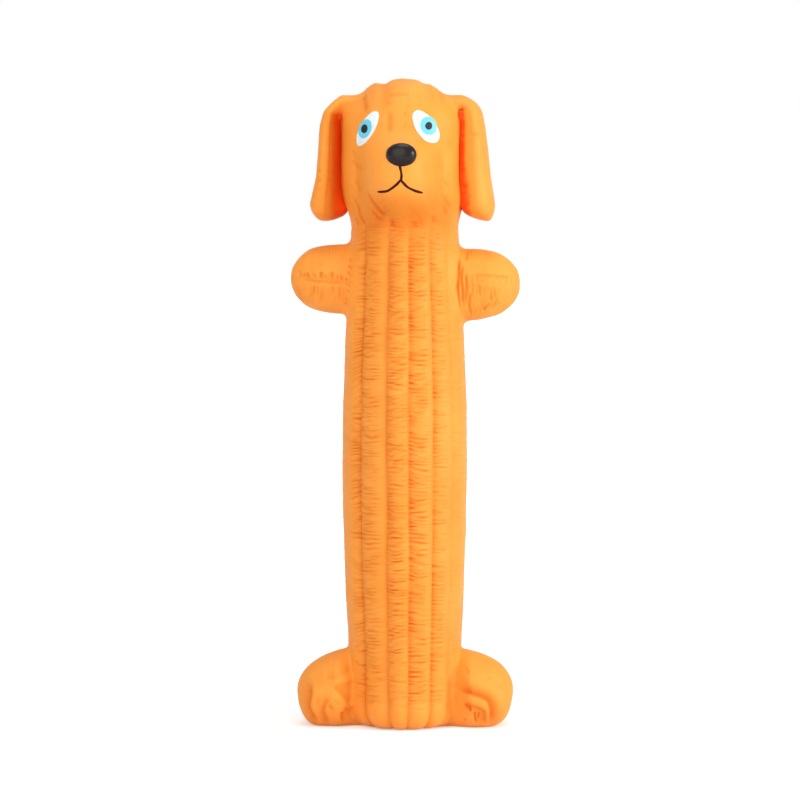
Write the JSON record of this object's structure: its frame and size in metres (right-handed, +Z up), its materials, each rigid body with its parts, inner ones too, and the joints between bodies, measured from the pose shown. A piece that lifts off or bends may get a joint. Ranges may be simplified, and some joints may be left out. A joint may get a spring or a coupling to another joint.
{
  "type": "latex dog toy",
  "caption": "Upright stick-shaped latex dog toy with lumpy body columns, stub paws, hanging ears, fibre filling and a reed squeaker in its base.",
  "frame": {"origin": "on the floor under the middle of the toy's overall box, midway between the tip of the nose and the back", "axes": "+Z up along the body from the base to the crown, -Y the way the face looks, +X the dog's own left"},
  "size_m": [0.0951, 0.0634, 0.27],
  "materials": {
    "orange_latex": "satin",
    "black_gloss_paint": "gloss",
    "dark_line_paint": "satin",
    "white_paint": "satin",
    "blue_paint": "satin",
    "white_fibre": "matte",
    "white_plastic": "satin"
  },
  "bodies": {
    "toy": {"body_skin": "orange_latex", "head_skin": "orange_latex", "left_front_paw": "orange_latex", "right_front_paw": "orange_latex", "left_hind_foot": "orange_latex", "right_hind_foot": "orange_latex", "nose": "black_gloss_paint", "mouth_line": "dark_line_paint", "left_eye_white": "white_paint", "left_iris": "blue_paint", "left_pupil": "black_gloss_paint", "right_eye_white": "white_paint", "right_iris": "blue_paint", "right_pupil": "black_gloss_paint", "fibre_filling": "white_fibre", "base_plug": "orange_latex", "squeaker_housing": "white_plastic", "squeaker_reed_block": "white_plastic", "squeaker_cap": "white_plastic"},
    "left_ear_flap": {"left_ear": "orange_latex"},
    "right_ear_flap": {"right_ear": "orange_latex"},
    "reed": {"squeaker_reed": "white_plastic"}
  },
  "joints": [
    {"name": "left_ear_flex", "type": "hinge", "parent": "toy", "child": "left_ear_flap", "pos_m": [0.02515, 0, 0.2632], "axis": [0, -1, 0], "range_deg": [0, 40], "stiffness_Nm_per_rad": 0.05},
    {"name": "right_ear_flex", "type": "hinge", "parent": "toy", "child": "right_ear_flap", "pos_m": [-0.02515, 0, 0.2632], "axis": [0, 1, 0], "range_deg": [0, 40], "stiffness_Nm_per_rad": 0.05},
    {"name": "squeaker_reed_flex", "type": "hinge", "parent": "toy", "child": "reed", "pos_m": [0, 0.00387, 0.0087], "axis": [-1, 0, 0], "range_deg": [0, 6], "stiffness_Nm_per_rad": 0.0002}
  ]
}
